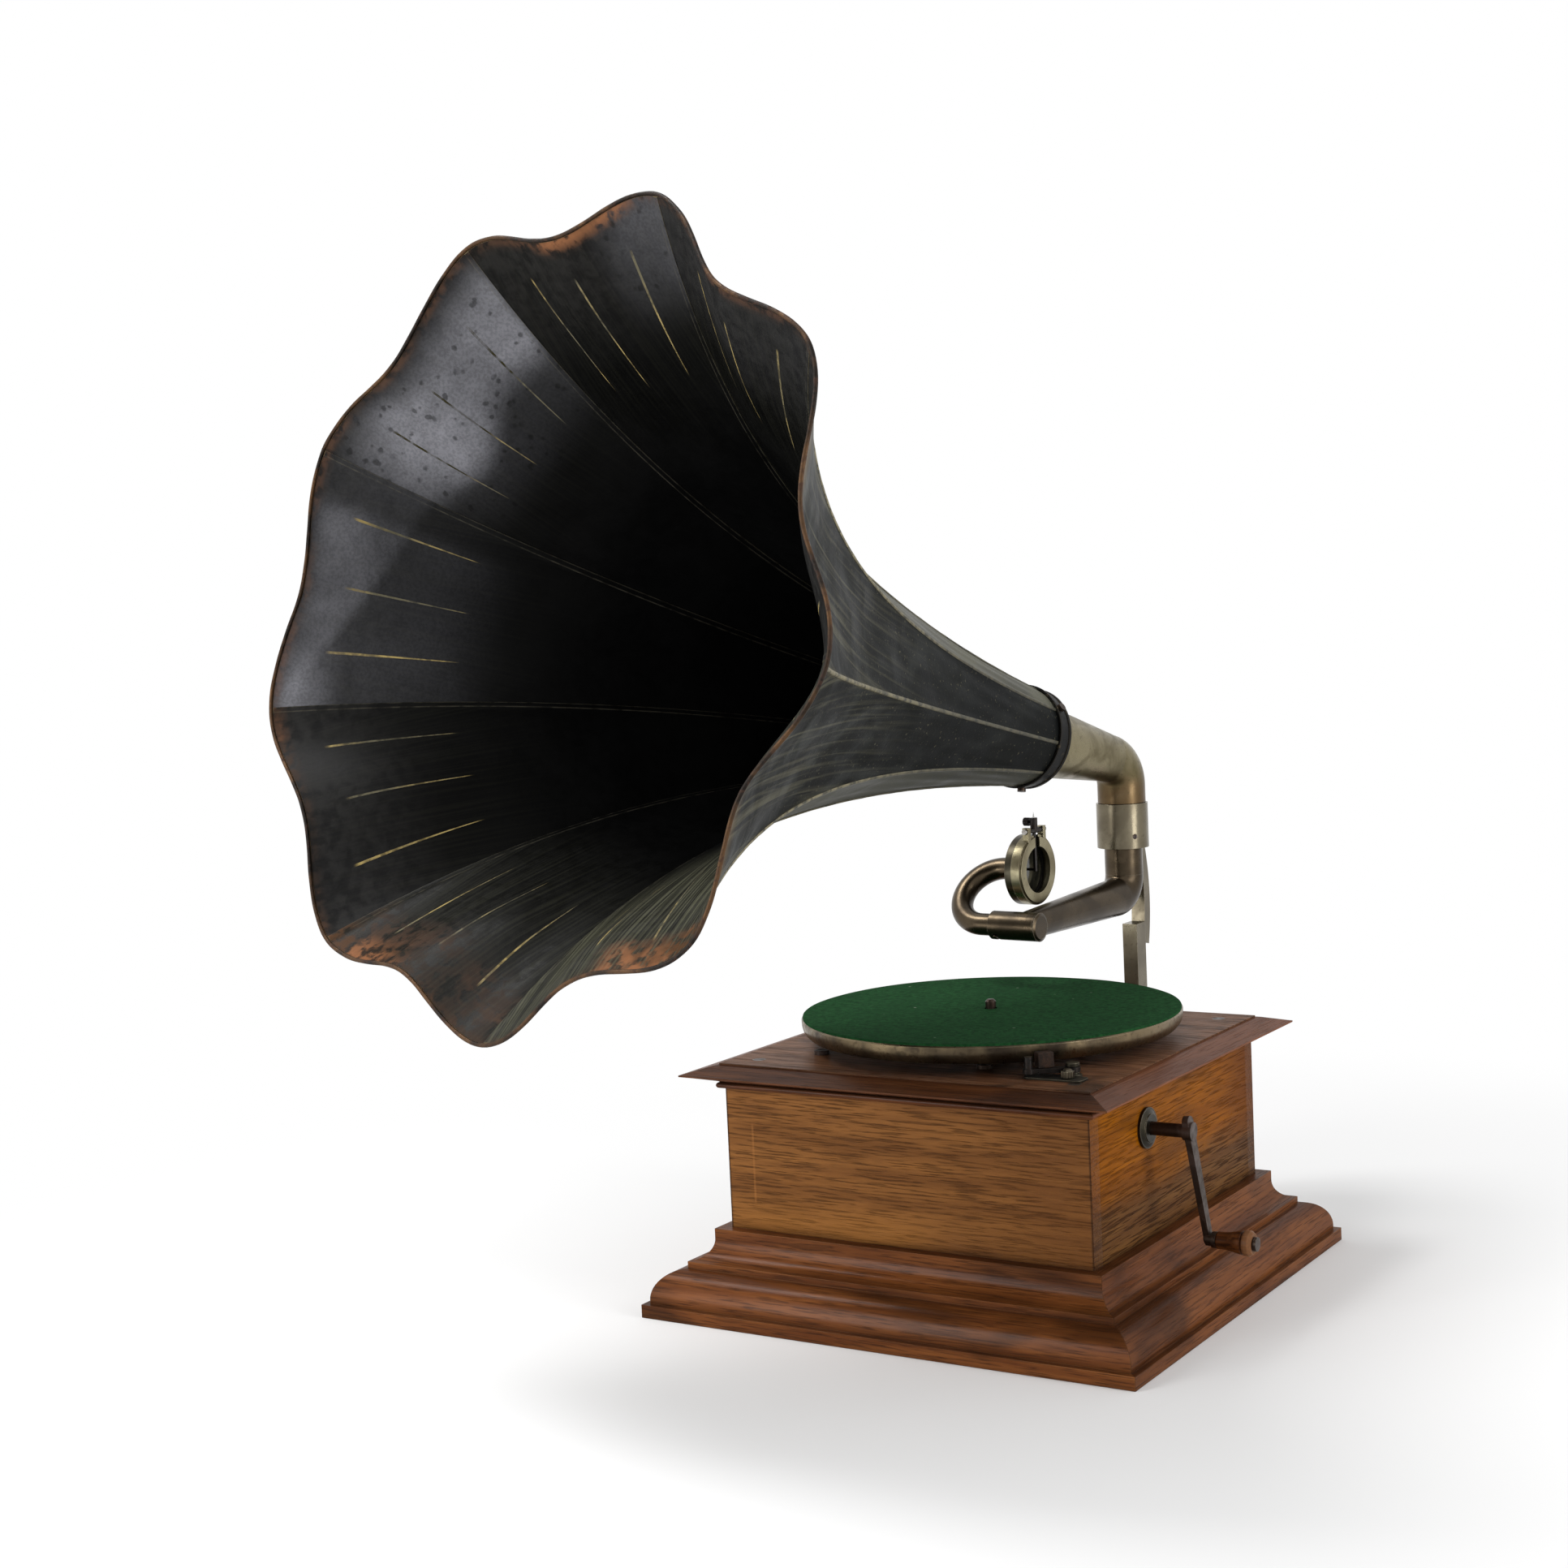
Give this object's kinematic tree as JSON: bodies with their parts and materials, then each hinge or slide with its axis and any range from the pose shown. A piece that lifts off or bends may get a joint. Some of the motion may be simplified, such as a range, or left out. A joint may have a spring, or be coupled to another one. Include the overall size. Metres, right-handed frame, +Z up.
{
  "type": "horn gramophone",
  "caption": "Tabletop wind-up gramophone: oak case with plinth, felt turntable, swinging tone arm with soundbox, side crank and a fluted flower horn on a rear bracket.",
  "frame": {"origin": "centre of the underside of the case, on the surface it stands on", "axes": "+Z up; -Y is the front of the case, the side the horn opens to; +X is the crank side"},
  "size_m": [0.5572, 0.6615, 0.6975],
  "materials": {
    "oak_body": "satin varnish",
    "oak_dark": "satin varnish",
    "pale_wood": "raw",
    "nickel": "worn nickel plate",
    "old_nickel": "aged nickel plate",
    "dark_steel": "dark, worn",
    "bright_steel": "machined",
    "tarnished_brass": "tarnished",
    "brass": "machined",
    "horn_lacquer": "worn black lacquer",
    "rim_rust": "rubbed and rusted",
    "felt_green": "felt",
    "mica": "translucent mica",
    "rubber": "matt",
    "leather": "worn",
    "cast_iron": "painted grey",
    "grip_wood": "satin"
  },
  "bodies": {
    "case": {"front_panel": "oak_body", "back_panel": "oak_body", "left_panel": "oak_body", "right_panel": "oak_body", "bottom_board": "pale_wood", "corner_blocks": "pale_wood", "plinth_mouldings": "oak_dark", "top_board": "oak_dark", "top_mouldings": "oak_dark", "wood_screws": "dark_steel", "bracket": "old_nickel", "collar_screw": "dark_steel", "escutcheon": "old_nickel", "control_plate": "old_nickel", "motor_top_plate": "cast_iron", "motor_bottom_plate": "cast_iron", "motor_pillars": "bright_steel", "motor_bolts": "bright_steel"},
    "horn": {"elbow": "tarnished_brass", "horn_ferrule": "horn_lacquer", "horn_petal_1": "horn_lacquer", "horn_petal_2": "horn_lacquer", "horn_petal_3": "horn_lacquer", "horn_petal_4": "horn_lacquer", "horn_petal_5": "horn_lacquer", "horn_petal_6": "horn_lacquer", "horn_petal_7": "horn_lacquer", "horn_petal_8": "horn_lacquer", "horn_petal_9": "horn_lacquer", "horn_rim_wire": "rim_rust", "horn_screws": "dark_steel"},
    "tone_arm": {"tone_arm": "old_nickel", "arm_end_cap": "old_nickel"},
    "gooseneck": {"gooseneck": "old_nickel", "soundbox_shell": "nickel", "soundbox_ring": "nickel", "soundbox_gaskets": "rubber", "diaphragm": "mica", "rubber_flange": "rubber", "pivot_screws": "bright_steel"},
    "stylus": {"stylus_bar": "dark_steel", "needle": "bright_steel"},
    "needle_screw": {"needle_screw": "dark_steel"},
    "turntable": {"turntable_platter": "nickel", "turntable_felt": "felt_green", "spindle": "bright_steel"},
    "barrel": {"spring_barrel": "brass", "mainspring": "dark_steel"},
    "winding_arbor": {"winding_arbor": "bright_steel"},
    "pawl": {"pawl": "dark_steel"},
    "intermediate": {"intermediate_gear": "brass"},
    "governor": {"governor": "bright_steel", "governor_weights": "brass"},
    "crank": {"winding_shaft": "bright_steel", "crank": "dark_steel"},
    "grip": {"crank_grip": "grip_wood"},
    "brake": {"brake_lever": "dark_steel", "brake_pad": "leather"},
    "speed_knob": {"speed_knob": "nickel"},
    "governor_brake": {"governor_brake": "dark_steel"}
  },
  "joints": [
    {"name": "turntable_spin", "type": "hinge", "parent": "case", "child": "turntable", "pos_m": [0, -0.0025, 0.18], "axis": [0, 0, 1], "continuous": true},
    {"name": "intermediate_spin", "type": "hinge", "parent": "case", "child": "intermediate", "pos_m": [-0.0405, -0.00195, 0.07], "axis": [0, 0, 1], "continuous": true},
    {"name": "barrel_spin", "type": "hinge", "parent": "case", "child": "barrel", "pos_m": [-0.05, -0.049, 0.09], "axis": [0, 0, 1], "continuous": true},
    {"name": "governor_spin", "type": "hinge", "parent": "case", "child": "governor", "pos_m": [0.0244, -0.04, 0.095], "axis": [0, 1, 0], "continuous": true},
    {"name": "crank_turn", "type": "hinge", "parent": "case", "child": "crank", "pos_m": [0.05, -0.049, 0.124], "axis": [1, 0, 0], "continuous": true},
    {"name": "arbor_wind", "type": "hinge", "parent": "case", "child": "winding_arbor", "pos_m": [-0.05, -0.049, 0.12], "axis": [0, 0, 1], "continuous": true},
    {"name": "grip_spin", "type": "hinge", "parent": "crank", "child": "grip", "pos_m": [0.185, -0.04299, 0.05526], "axis": [1, 0, 0], "continuous": true},
    {"name": "pawl_swing", "type": "hinge", "parent": "case", "child": "pawl", "pos_m": [-0.0644, -0.031, 0.1335], "axis": [0, 0, 1], "range_deg": [-12, 0]},
    {"name": "horn_swivel", "type": "hinge", "parent": "case", "child": "horn", "pos_m": [0, 0.218, 0.3], "axis": [0, 0, 1], "continuous": true},
    {"name": "tone_arm_swing", "type": "hinge", "parent": "case", "child": "tone_arm", "pos_m": [0, 0.218, 0.28], "axis": [0, 0, 1], "range_deg": [-10, 48]},
    {"name": "gooseneck_turn", "type": "hinge", "parent": "tone_arm", "child": "gooseneck", "pos_m": [-0.02139, 0.07373, 0.2285], "axis": [0.9969, -0.0785, 0], "range_deg": [0, 145]},
    {"name": "stylus_rock", "type": "hinge", "parent": "gooseneck", "child": "stylus", "pos_m": [-0.01871, 0.10899, 0.29185], "axis": [0.0785, 0.9969, 0], "range_deg": [-0.4, 0.4], "stiffness_Nm_per_rad": 0.3},
    {"name": "needle_screw_turn", "type": "hinge", "parent": "stylus", "child": "needle_screw", "pos_m": [-0.0237, 0.10938, 0.29785], "axis": [0.9969, -0.0785, 0], "range_deg": [0, 360]},
    {"name": "brake_swing", "type": "hinge", "parent": "case", "child": "brake", "pos_m": [0.10284, -0.09357, 0.168], "axis": [0, 0, 1], "range_deg": [0, 12]},
    {"name": "speed_knob_turn", "type": "hinge", "parent": "case", "child": "speed_knob", "pos_m": [0.10448, -0.10384, 0.165], "axis": [0, 0, 1], "range_deg": [0, 90]},
    {"name": "governor_brake_swing", "type": "hinge", "parent": "case", "child": "governor_brake", "pos_m": [0.052, -0.076, 0.095], "axis": [0, 0, 1], "range_deg": [0, 1.7]}
  ],
  "couplings": [
    {"joint": "intermediate_spin", "follows": "turntable_spin", "ratio": -0.2},
    {"joint": "barrel_spin", "follows": "turntable_spin", "ratio": 0.04},
    {"joint": "governor_spin", "follows": "turntable_spin", "ratio": 12.667},
    {"joint": "arbor_wind", "follows": "crank_turn", "ratio": 0.5},
    {"joint": "governor_brake_swing", "follows": "speed_knob_turn", "ratio": 0.0182}
  ]
}
